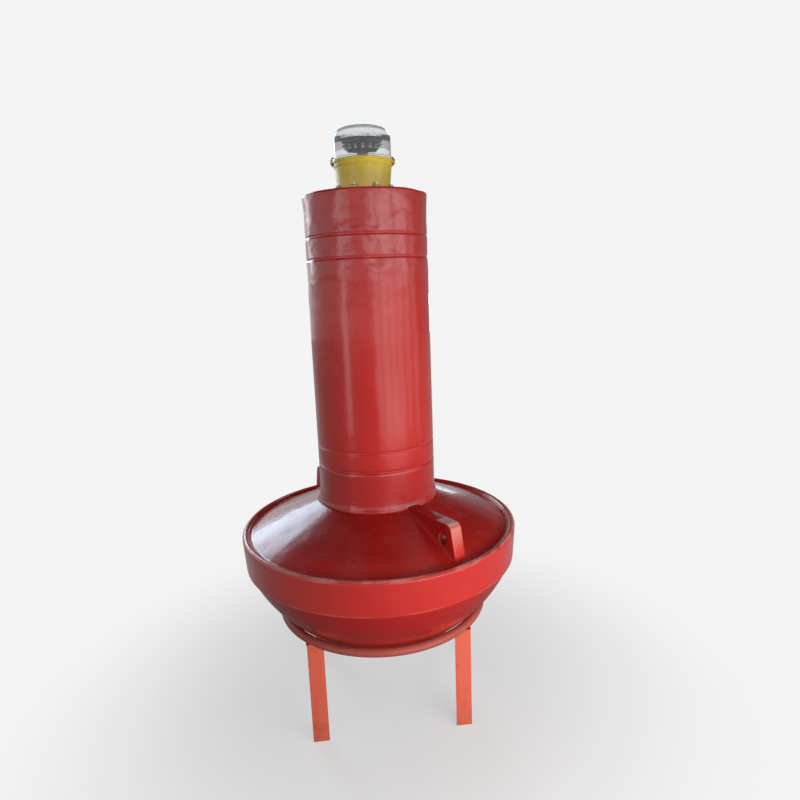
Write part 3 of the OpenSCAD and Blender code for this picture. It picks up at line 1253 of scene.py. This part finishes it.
@dataclass
class LugPair:
    """The two lifting lugs, laminated to the deck on opposite sides."""

    shop: FinishShop
    hull: Hull
    angle: float = 30.0
    width: float = 0.039
    top_up: float = 0.01
    toe_in: float = 0.014
    toe_step: float = 0.0008
    sink: float = 0.004
    lean: float = 0.021
    corner_r: float = 0.02
    hole_r: float = 0.017
    hole_in: float = 0.071
    hole_up: float = 0.027
    root: float = 0.008
    tower_r: float = 0.19
    notch_l: float = 0.03
    root_gap: float = 0.0005
    side_gap: float = 0.0008
    top_gap: float = 0.0012
    round_r: float = 0.0035
    fillet: float = 0.009
    fillet_in: float = 0.004
    fillet_sink: float = 0.0012
    fillet_bury: float = 0.0008
    fillet_bulge: float = 0.0006
    fillet_thin: float = 0.35
    fillet_rough: float = 0.18
    fillet_steps: int = 30

    def __post_init__(self) -> None:
        """Works out the lugs' main points."""
        hull = self.hull
        self.top_z = hull.deck_z + self.top_up
        self.toe = (hull.gutter_r - self.toe_in, hull.gutter_z)
        self.corner = (self.toe[0] - self.lean, self.top_z)
        hole_at = hull.gutter_r - self.hole_in
        self.hole = (hole_at, hull.deck_height(hole_at) + self.hole_up)
        self.root_at = self.tower_r - self.root
        self.turns = [about("Z", math.radians(self.angle + side)) for side in (-90.0, 90.0)]

    def notches(self) -> list[bmesh.types.BMesh]:
        """Makes the blocks that the tower's notches are cut with.

        Returns:
            One block for each lug.
        """
        wide, tall = self.width + 2 * self.side_gap, 2 * (self.top_up + self.top_gap)
        size = Matrix.Diagonal((self.notch_l, wide, tall, 1.0))
        middle = self.root_at + self.notch_l / 2 - self.root_gap
        place = Matrix.Translation((middle, 0.0, self.hull.deck_z))
        blocks = []
        for turn in self.turns:
            bm = bmesh.new()
            bmesh.ops.create_cube(bm, size=1.0, matrix=turn @ place @ size)
            blocks.append(bm)
        return blocks

    def _side(self) -> list[Point]:
        """Lays out a lug's side view with its rounded corner.

        Returns:
            The outline, as distances from the axis and heights.
        """
        edge = Vector(self.toe) - Vector(self.corner)
        bend = math.acos(-edge.x / edge.length)
        centre = (self.corner[0] - self.corner_r / math.tan(bend / 2), self.top_z - self.corner_r)
        deck, gutter = self.hull.deck_z - self.sink, self.toe[1] - self.sink
        return [
            (self.root_at, deck),
            (self.root_at, self.top_z),
            *arc(centre, self.corner_r, 90.0, math.degrees(bend) - 90.0, 10),
            (self.toe[0] + self.toe_step, gutter),
            (self.hull.seat_r, deck),
        ]

    def build(self) -> None:
        """Builds both lugs and the fillets round their feet."""
        stand_up = about("X", math.radians(90.0))
        for name, turn in zip(("front", "back"), self.turns):
            hole = circle(self.hole, self.hole_r, 40)
            bm = plate(self._side(), -self.width / 2, self.width / 2, [hole])
            soften(bm, self.round_r, 4, 50.0)
            bmesh.ops.transform(bm, matrix=turn @ stand_up, verts=bm.verts)
            nodes = [f"lifting_lug_{name}"]
            piece(outward(bm), f"lug_{name}", self.shop.gelcoat, nodes, sharp=38.0)
            fillets = joined((self._fillet(side, turn), turn) for side in (-1, 1))
            piece(fillets, f"lug_fillet_{name}", self.shop.gelcoat, sharp=50.0)

    def _fillet(self, side: int, turn: Matrix) -> bmesh.types.BMesh:
        """Lays the laminate fillet along one side of a lug's foot, before the lug is turned.

        Args:
            side: Which side, 1 or -1.
            turn: The lug's direction, which seeds the unevenness.

        Returns:
            The fillet.
        """
        start, end = self.hull.seat_r + self.fillet_in, self.toe[0] - self.fillet_in
        y = side * (self.width / 2 - self.fillet_bury)
        seed, thin = turn.to_euler().z, self.fillet_thin
        rings = []
        for i in range(self.fillet_steps + 1):
            share = i / self.fillet_steps
            r = start + (end - start) * share
            full = min(share * 4 + 0.1, 1.0, (1 - share) * 4 + 0.1)
            size = self.fillet * (thin + (1.0 - thin) * math.sin(math.pi * full / 2))
            grain = noise.noise(Vector((r * 40.0, side * 3.0, seed)))
            size *= 1.0 + self.fillet_rough * grain
            z = self.hull.deck_height(r) - self.fillet_sink
            centre = z + size + self.fillet_bulge
            hollow = [
                (y + side * (size - size * math.sin(a)), centre - size * math.cos(a))
                for a in map(math.radians, (75.0, 45.0, 15.0))
            ]
            bend = [(y, z), (y, z + size), *hollow, (y + side * size * 1.1, z)]
            rings.append([(r, across, up) for across, up in bend])
        return loft(rings)


@dataclass
class Mooring:
    """The steel plate and eye under the bowl."""

    shop: FinishShop
    eye_r: float = 0.038
    hole_r: float = 0.017
    eye_t: float = 0.016
    root_w: float = 0.11
    bolts: int = 6
    bolt_at: float = 0.08
    bolt_across: float = 0.019
    bolt_head: float = 0.0105
    washer: float = 0.0025
    plate_edge: float = 0.0012
    eye_edge: float = 0.0022
    weld_r: float = 0.0045
    weld_ripple: float = 0.14
    weld_out: float = 0.0015
    weld_in: float = 0.002
    weld_steps: int = 30

    def build(self) -> None:
        """Builds the plate, its bolts, the eye and its weld."""
        radius, self.plate_z, top = stature("mooring_plate")
        bm = cone(bmesh.new(), 96, (radius, radius), self.plate_z, top)
        soften(bm, self.plate_edge, 2)
        piece(bm, "mooring_base_plate", self.shop.zinc, ["mooring_plate"])
        self._eye()
        down = Matrix.Translation((self.bolt_at, 0, self.plate_z)) @ about("X", math.pi)
        heads = []
        for i in range(self.bolts):
            turn = about("Z", TURN * (i + 0.5) / self.bolts)
            heads.append((hexagon_bolt(self.bolt_across, self.bolt_head, self.washer), turn @ down))
        piece(joined(heads), "mooring_bolts", self.shop.zinc, sharp=30.0)

    def _eye(self) -> None:
        """Builds the eye and the weld round its root."""
        centre = (0.0, stature("mooring_eye")[1] + self.eye_r)
        half, thick, root = self.root_w / 2, self.eye_t / 2, self.plate_z
        reach = Vector((half, root - centre[1]))
        lean = math.degrees(math.atan2(reach.y, reach.x) - math.acos(self.eye_r / reach.length))
        outline = [(-half, root), (half, root), *arc(centre, self.eye_r, lean, -180.0 - lean, 36)]
        bm = plate(outline, -thick, thick, [circle(centre, self.hole_r, 40)])
        soften(bm, self.eye_edge, 3, 50.0)
        bmesh.ops.transform(bm, matrix=about("X", math.radians(90.0)), verts=bm.verts)
        piece(outward(bm), "mooring_eye_plate", self.shop.zinc, ["mooring_eye"])
        beads = []
        for side in (-1, 1):
            spot = (side * (thick + self.weld_out), root - self.weld_out)
            start, length = self.weld_in - half, self.root_w - 2 * self.weld_in
            steps = self.weld_steps
            path = [Vector((start + length * i / steps, *spot)) for i in range(steps + 1)]
            beads.append((bead(path, self.weld_r, self.weld_ripple), Matrix.Identity(4)))
        piece(joined(beads), "mooring_eye_weld", self.shop.zinc)


@dataclass
class Lantern:
    """The marine lantern on the tower's top."""

    shop: FinishShop
    foot_d: float = 0.188
    foot_t: float = 0.008
    body_foot_d: float = 0.158
    body_top_d: float = 0.175
    flange_d: float = 0.184
    flange_t: float = 0.007
    ear_d: float = 0.018
    ear_at: float = 0.089
    lens_d: float = 0.172
    lens_wall: float = 0.005
    lens_flange_t: float = 0.005
    lens_steps: int = 9
    lens_step_depth: float = 0.0007
    lens_plain_top: float = 0.006
    lens_plain_foot: float = 0.02
    lens_gap: float = 0.0002
    lens_lift: float = 0.0001
    shoulder_r: float = 0.03
    foot_bolts: int = 8
    foot_bolt_at: float = 0.0855
    boss_d: float = 0.0165
    boss_h: float = 0.012
    boss_sink: float = 0.001
    bolt_head: float = 0.0055
    washer: float = 0.0012
    bead_count: int = 12
    bead_r: float = 0.0036
    bead_rows: Point = (0.28, 0.58)
    foot_chamfer: float = 0.001
    foot_round: float = 0.002
    neck_r: float = 0.004
    band_h: float = 0.0095
    band_out: float = 0.0008
    throat_in: float = 0.0012
    throat_drop: float = 0.0025
    flange_edge: float = 0.0009
    lens_edge: float = 0.0006
    boss_edge: float = 0.0008
    boss_taper: float = 0.94
    foot_bolt_across: float = 0.01
    ear_bolt_across: float = 0.009
    nut_h: float = 0.005
    stem_waist: float = 0.82
    stem_collar: float = 0.004
    stem_slope: float = 0.002
    head_foot: float = 0.697
    head_rim_w: float = 0.004
    head_rim_h: float = 0.008
    lamp_edge: float = 0.001
    disc_rim_w: float = 0.003
    disc_lift: float = 0.0004
    disc_edge: float = 0.0008

    def __post_init__(self) -> None:
        """Reads the lantern's levels from the frame."""
        _, self.foot_z, self.lens_z = stature("lantern_base")
        self.top_z = stature("lantern_lens")[2]

    def build(self) -> None:
        """Builds the base, the lens, their fastenings and the lamp."""
        self._base()
        self._foot_bolts()
        self._lens()
        self._ear_bolts()
        self._lamp()

    def _flange_outline(self) -> list[Point]:
        """Lays out a round flange with a bolt ear at each side.

        Returns:
            The outline.
        """
        steps, ear_r = 120, self.ear_d / 2
        points = []
        for angle in (TURN * i / steps for i in range(steps)):
            across = self.ear_at * abs(math.sin(angle))
            reach = self.flange_d / 2
            if across < ear_r:
                ear = self.ear_at * abs(math.cos(angle)) + math.sqrt(ear_r**2 - across**2)
                reach = max(reach, ear)
            points.append((reach * math.cos(angle), reach * math.sin(angle)))
        return points

    def _base(self) -> None:
        """Turns the base's body with its foot and lays its top flange."""
        z, foot_r, rim, neck = self.foot_z, self.foot_d / 2, self.foot_round, self.neck_r
        low_r, high_r = self.body_foot_d / 2, self.body_top_d / 2
        under, shoulder = self.lens_z - self.flange_t, self.foot_z + self.foot_t
        band = (high_r + self.band_out, under - self.band_h)
        throat = (high_r - self.throat_in, band[1] - self.throat_drop)
        profile = [
            (0.0, z),
            *run((0.0, z), (foot_r - self.foot_chamfer, z), 4),
            (foot_r, z + self.foot_chamfer),
            *arc((foot_r - rim, shoulder - rim), rim, 0.0, 90.0, 3),
            *arc((low_r + neck, shoulder + neck), neck, -90.0, -180.0, 4),
            *run((low_r, shoulder + neck), throat, 12),
            band,
            *run(band, (band[0], under), 3),
            (0.0, under),
        ]
        bm = turned(profile, 128)
        piece(bm, "lantern_body", self.shop.yellow, ["lantern_base"], sharp=35.0)
        flange = plate(self._flange_outline(), under, self.lens_z)
        soften(flange, self.flange_edge, 2, 50.0)
        piece(flange, "lantern_top_flange", self.shop.yellow)

    def _foot_bolts(self) -> None:
        """Fastens the foot to the tower's top, with a boss under each bolt."""
        radii = (self.boss_d / 2, self.boss_d / 2 * self.boss_taper)
        lift = Matrix.Translation((self.foot_bolt_at, 0.0, self.foot_z + self.foot_t))
        rise = Matrix.Translation((0.0, 0.0, self.boss_h))
        heads, bosses = [], []
        for i in range(self.foot_bolts):
            place = about("Z", TURN * (i + 0.5) / self.foot_bolts) @ lift
            head = hexagon_bolt(self.foot_bolt_across, self.bolt_head, self.washer)
            heads.append((head, place @ rise))
            boss = cone(bmesh.new(), 28, radii, -self.boss_sink, self.boss_h)
            soften(boss, self.boss_edge, 2, 50.0)
            bosses.append((boss, place))
        steel, yellow = self.shop.stainless, self.shop.yellow
        piece(joined(heads), "lantern_foot_bolts", steel, sharp=30.0)
        piece(joined(bosses), "lantern_foot_bosses", yellow, sharp=35.0)

    def _lens(self) -> None:
        """Turns the clear lens and lays its flange."""
        r, wall, shoulder = self.lens_d / 2, self.lens_wall, self.shoulder_r
        z, top = self.lens_z, self.top_z
        centre = (r - shoulder, top - shoulder)
        profile = [
            (r, z),
            *run((r, z), (r, centre[1]), 10),
            *arc(centre, shoulder, 0.0, 90.0, 12)[1:],
            *run((centre[0], top), (0.0, top), 5),
            (0.0, top - wall),
            *run((0.0, top - wall), (centre[0], top - wall), 5),
            *arc(centre, shoulder - wall, 90.0, 0.0, 12)[1:],
            *self._steps(r - wall, centre[1], z),
        ]
        bm = turned(profile, 128)
        rim = [e for e in bm.edges if e.is_boundary and abs(e.verts[0].co.z - z) < 1e-5]
        bmesh.ops.bridge_loops(bm, edges=rim)
        piece(outward(bm), "lens_dome", self.shop.clear, ["lantern_lens"], sharp=28.0)
        hole = circle((0.0, 0.0), r + self.lens_gap, 128)
        foot, head = z + self.lens_lift, z + self.lens_flange_t
        flange = plate(self._flange_outline(), foot, head, [hole])
        soften(flange, self.lens_edge, 1, 50.0)
        piece(flange, "lens_flange", self.shop.clear)

    def _steps(self, r: float, high: float, low: float) -> list[Point]:
        """Lays out the inner wall, with shallow light-gathering steps at its middle.

        Args:
            r: The inner wall's radius.
            high: Where the straight wall starts.
            low: Where it ends.

        Returns:
            The points from high down to low.
        """
        start = high - self.lens_plain_top
        pitch = (start - low - self.lens_plain_foot) / self.lens_steps
        points = [(r, start)]
        for z in (start - pitch * i for i in range(self.lens_steps)):
            points += [(r - self.lens_step_depth, z - pitch * 0.5), (r, z - pitch)]
        return points + [(r, low)]

    def _ear_bolts(self) -> None:
        """Clamps the lens to the base at its two ears."""
        turn_over, across = about("X", math.pi), self.ear_bolt_across
        bolts = []
        for x in (-self.ear_at, self.ear_at):
            top = Matrix.Translation((x, 0.0, self.lens_z + self.lens_flange_t))
            below = Matrix.Translation((x, 0.0, self.lens_z - self.flange_t))
            bolts.append((hexagon_bolt(across, self.bolt_head, self.washer), top))
            bolts.append((hexagon_bolt(across, self.nut_h, self.washer), below @ turn_over))
        piece(joined(bolts), "lens_bolts", self.shop.black, sharp=30.0)

    def _lamp(self) -> None:
        """Builds the stem, the head with its light sources and the disc over it."""
        shop, edge = self.shop, self.lamp_edge
        r, z0, z1 = stature("lamp_stem")
        waist, collar, slope = r * self.stem_waist, self.stem_collar, self.stem_slope
        stem = [
            (0.0, z0), *run((0.0, z0), (r, z0), 2),
            (r, z0 + collar), (waist, z0 + collar + slope),
            (waist, z1 - edge - slope), (r, z1 - edge), (r, z1), (0.0, z1),
        ]
        piece(turned(stem, 48), "lamp_post", shop.grey, ["lamp_stem"], sharp=30.0)
        r, z0, z1 = stature("lamp_head")
        foot_r, rim_z = r * self.head_foot, z1 - self.head_rim_h
        low, high = (foot_r + edge, z0 + 2 * edge), (r - self.head_rim_w, rim_z - edge)
        head = [
            (0.0, z0), (foot_r, z0), low, *run(low, high, 3),
            (r, rim_z), (r, z1 - edge), (r - edge, z1), (0.0, z1),
        ]
        nodes = ["lamp_head"]
        piece(turned(head, 72), "lamp_housing", shop.black, nodes, sharp=30.0)
        self._beads(foot_r, r, z0, z1)
        r, z0, z1 = stature("lamp_disc")
        inner, under, edge = r - self.disc_rim_w, z0 + self.disc_lift, self.disc_edge
        disc = [(0.0, under), *run((0.0, under), (inner, under), 6), (inner, z1), (0.0, z1)]
        nodes = ["lamp_disc"]
        piece(turned(disc, 96), "lamp_plate", shop.disc, nodes, sharp=30.0)
        rim = [
            (inner, z0), (r - edge, z0), (r, z0 + edge),
            (r, z1 - edge), (r - edge, z1), (inner, z1),
        ]
        rim_mesh = turned(rim, 96, closed=True)
        piece(rim_mesh, "lamp_plate_rim", shop.black, sharp=30.0)

    def _beads(self, foot_r: float, top_r: float, z0: float, z1: float) -> None:
        """Sets the light sources round the lamp's head, in two rows.

        Args:
            foot_r: The head's radius at its foot.
            top_r: The head's radius at its top.
            z0: The foot's height.
            z1: The top's height.
        """
        lift, wall = 2 * self.lamp_edge, z1 - z0 - self.head_rim_h - self.lamp_edge
        tip = about("Y", math.atan2(top_r - self.head_rim_w - foot_r, wall - lift))
        parts = []
        for i in range(self.bead_count):
            for share in self.bead_rows:
                bm = bmesh.new()
                bmesh.ops.create_uvsphere(bm, u_segments=14, v_segments=10, radius=self.bead_r)
                r = foot_r + (top_r - foot_r) * share
                z = z0 + wall * share + lift
                place = Matrix.Translation((r, 0.0, z)) @ tip
                parts.append((bm, about("Z", TURN * i / self.bead_count) @ place))
        piece(joined(parts), "lamp_beads", self.shop.bead)


@dataclass(frozen=True)
class Lamp:
    """One soft lamp, given by how bright its face is, which no refracted ray sees.

    Its azimuth is counted from the right towards the back, and aim is the height on the axis
    that it faces.
    """

    name: str
    azimuth: float
    away: float
    height: float
    wide: float
    tall: float
    glow: float
    aim: float = 1.0
    tint: Colour = (1.0, 1.0, 1.0)
    mirrored: bool = True

    def hang(self) -> None:
        """Hangs the lamp in its place."""
        data = bpy.data.lights.new(self.name, "AREA")
        data.shape = "RECTANGLE"
        data.size, data.size_y = self.wide, self.tall
        data.energy = self.glow * math.pi * self.wide * self.tall
        data.color = self.tint
        lamp = bpy.data.objects.new(self.name, data)
        turn = math.radians(self.azimuth)
        lamp.location = (self.away * math.cos(turn), self.away * math.sin(turn), self.height)
        ahead = Vector((0.0, 0.0, self.aim)) - lamp.location
        lamp.rotation_euler = ahead.to_track_quat("-Z", "Y").to_euler()
        lamp.visible_camera = False
        lamp.visible_glossy = self.mirrored
        lamp.visible_transmission = False
        bpy.context.scene.collection.objects.link(lamp)


SKY_BLUE = (0.84, 0.92, 1.0)

# Azimuth and glow of each pane of the near window
PANES = ((-80.0, 1.15), (-66.0, 1.4), (-52.0, 1.25), (-38.0, 1.05), (-22.0, 0.8), (-4.0, 0.6))

# Azimuth, width and glow of each far window
WINDOWS = (
    (150.0, 1.0, 0.9),
    (136.0, 1.6, 2.7),
    (-30.0, 2.4, 1.5),
    (-60.0, 1.8, 1.8),
    (-86.0, 1.4, 1.5),
    (-128.0, 1.6, 1.2),
)

# Name, azimuth, distance, height, width, tallness, glow, then aim, tint and whether it mirrors
LAMPS = (
    *(
        Lamp(f"pane_{i}", azimuth, 2.9, 1.07, 0.6, 1.64, glow)
        for i, (azimuth, glow) in enumerate(PANES)
    ),
    *(
        Lamp(f"window_{i}", azimuth, 6.0, 2.2, wide, 1.5, glow, 1.4, SKY_BLUE)
        for i, (azimuth, wide, glow) in enumerate(WINDOWS)
    ),
    Lamp("tall_window", 119.0, 10.0, 5.2, 3.2, 4.7, 6.0, 0.8, (0.66, 0.84, 1.0)),
    Lamp("low_window", 71.0, 6.0, 1.0, 0.7, 0.5, 5.0, 1.0, SKY_BLUE),
    Lamp("pane_left", -140.0, 2.9, 1.2, 0.5, 1.9, 1.6),
    Lamp("key", -56.0, 1.75, 0.5, 1.3, 0.55, 7.2, 0.55, (1.0, 0.98, 0.95), False),
    Lamp("skylight", 62.0, 1.9, 2.63, 0.36, 0.36, 10.0, 0.7),
    Lamp("overhead", 45.0, 0.5, 3.6, 2.4, 2.4, 0.15),
)


@dataclass
class Studio:
    """A pale floor and backdrop, soft lamps and the camera.

    Glows and tones are shares of white. The floor's tone is seen by the camera and through the
    lens, and unseen by all that it lights. The flag dims the mirrored world at the right.
    """

    camera_at: Triple = (-0.114, -1.8979, 1.3972)
    pitch: float = 11.1
    heading: float = -6.0
    roll: float = -2.18
    focal_px: float = 595.6
    frame_px: float = 800.0
    floor_r: float = 14.0
    floor_colour: Colour = (0.8, 0.8, 0.8)
    seen: float = 0.98
    unseen: float = 0.22
    near_glow: float = 0.55
    mirrored_glow: float = 0.3
    horizon: float = 0.62
    ceiling: float = 0.07
    backdrop: float = 0.9
    mirrored_sky: float = 0.85
    fade: Point = (0.35, 1.35)
    flag_azimuth: float = 35.0
    flag_depth: float = 0.8

    def build(self) -> None:
        """Builds the floor, the world, the lamps and the camera."""
        self._floor()
        self._world()
        for lamp in LAMPS:
            lamp.hang()
        self._camera()
        bpy.context.scene.view_settings.view_transform = "Standard"

    @staticmethod
    def _rays(g: Graph) -> tuple[Wire, Wire]:
        """Tells rays apart.

        Args:
            g: The builder of the floor or the world.

        Returns:
            1 for rays from the camera or through the lens, and 1 for mirrored rays.
        """
        names = ("Is Camera Ray", "Is Transmission Ray", "Is Glossy Ray")
        direct, through, mirrored = (g.node("ShaderNodeLightPath", output=name) for name in names)
        return direct.at_least(through), mirrored

    def _floor(self) -> None:
        """Lays a wide floor that keeps the shadow and fades to the backdrop."""
        bm = bmesh.new()
        bmesh.ops.create_circle(bm, cap_ends=True, segments=96, radius=self.floor_r)
        mesh = bpy.data.meshes.new("floor")
        bm.to_mesh(mesh)
        bm.free()
        floor = bpy.data.objects.new("floor", mesh)
        bpy.context.scene.collection.objects.link(floor)
        g = Graph("floor_paint")
        eye, mirrored = self._rays(g)
        tone = g.noise(2.0) * 0.02 + self.unseen + eye * (self.seen - self.unseen)
        scaled = {0: self.floor_colour, "Scale": tone}
        base = g.node("ShaderNodeVectorMath", scaled, operation="SCALE")
        lit = g.node("ShaderNodeBsdfPrincipled", {"Base Color": base, "Roughness": 0.6}, "BSDF")
        glow = g.node("ShaderNodeEmission", {"Strength": self.backdrop})
        reach = g.node("ShaderNodeVectorMath", {0: g.place}, "Value", operation="LENGTH")
        far = reach.step(*self.fade)
        pale = eye * (self.near_glow + far * (1.0 - self.near_glow))
        pale = pale.at_least(mirrored * far * self.mirrored_glow)
        g.close(g.node("ShaderNodeMixShader", {0: pale, 1: lit, 2: glow}))
        mesh.materials.append(g.material)

    def _world(self) -> None:
        """Lights the scene from near the horizon, with a dim ceiling and a dark flag."""
        world = bpy.data.worlds.new("studio")
        bpy.context.scene.world = world
        g = Graph("studio", world)
        eye, mirrored = self._rays(g)
        way = g.node("ShaderNodeTexCoord", output="Generated")
        x, y, up = (g.axis(way, name) for name in "XYZ")
        dim = self.ceiling + (1.0 - up.step(0.0, 0.5)) * (self.horizon - self.ceiling)
        turn = math.radians(self.flag_azimuth)
        flag = (x * math.cos(turn) + y * math.sin(turn)).step(0.55, 0.9) * self.flag_depth
        dim = dim * (1.0 - mirrored * flag)
        open_sky = (1.0 - up.step(0.1, 0.4)) * (1.0 - flag) * self.mirrored_sky
        level = dim + eye.at_least(mirrored * open_sky) * (self.backdrop - dim)
        white = {"Color": (1.0, 1.0, 1.0, 1.0), "Strength": level}
        g.close(g.node("ShaderNodeBackground", white), "ShaderNodeOutputWorld")

    def _camera(self) -> None:
        """Sets the camera where the photograph was taken."""
        data = bpy.data.cameras.new("camera")
        data.sensor_width = 36.0
        data.lens = self.focal_px / self.frame_px * data.sensor_width
        camera = bpy.data.objects.new("camera", data)
        turn = about("Z", math.radians(self.heading))
        tip = about("X", math.radians(90.0 - self.pitch))
        roll = about("Z", math.radians(self.roll))
        camera.matrix_world = Matrix.Translation(self.camera_at) @ turn @ tip @ roll
        bpy.context.scene.collection.objects.link(camera)
        bpy.context.scene.camera = camera


@dataclass
class Buoy:
    """The whole buoy on its stand."""

    shop: FinishShop = field(default_factory=FinishShop)

    def build(self) -> None:
        """Builds every sub-assembly, from the floor up."""
        hull = Hull(self.shop)
        lugs = LugPair(self.shop, hull)
        Stand(self.shop).build()
        hull.build()
        Mooring(self.shop).build()
        lugs.build()
        Tower(self.shop).build(lugs)
        Lantern(self.shop).build()


def main() -> None:
    """Builds the studio and the buoy."""
    logging.basicConfig(level=logging.INFO)
    Studio().build()
    Buoy().build()


if __name__ == "__main__":
    main()
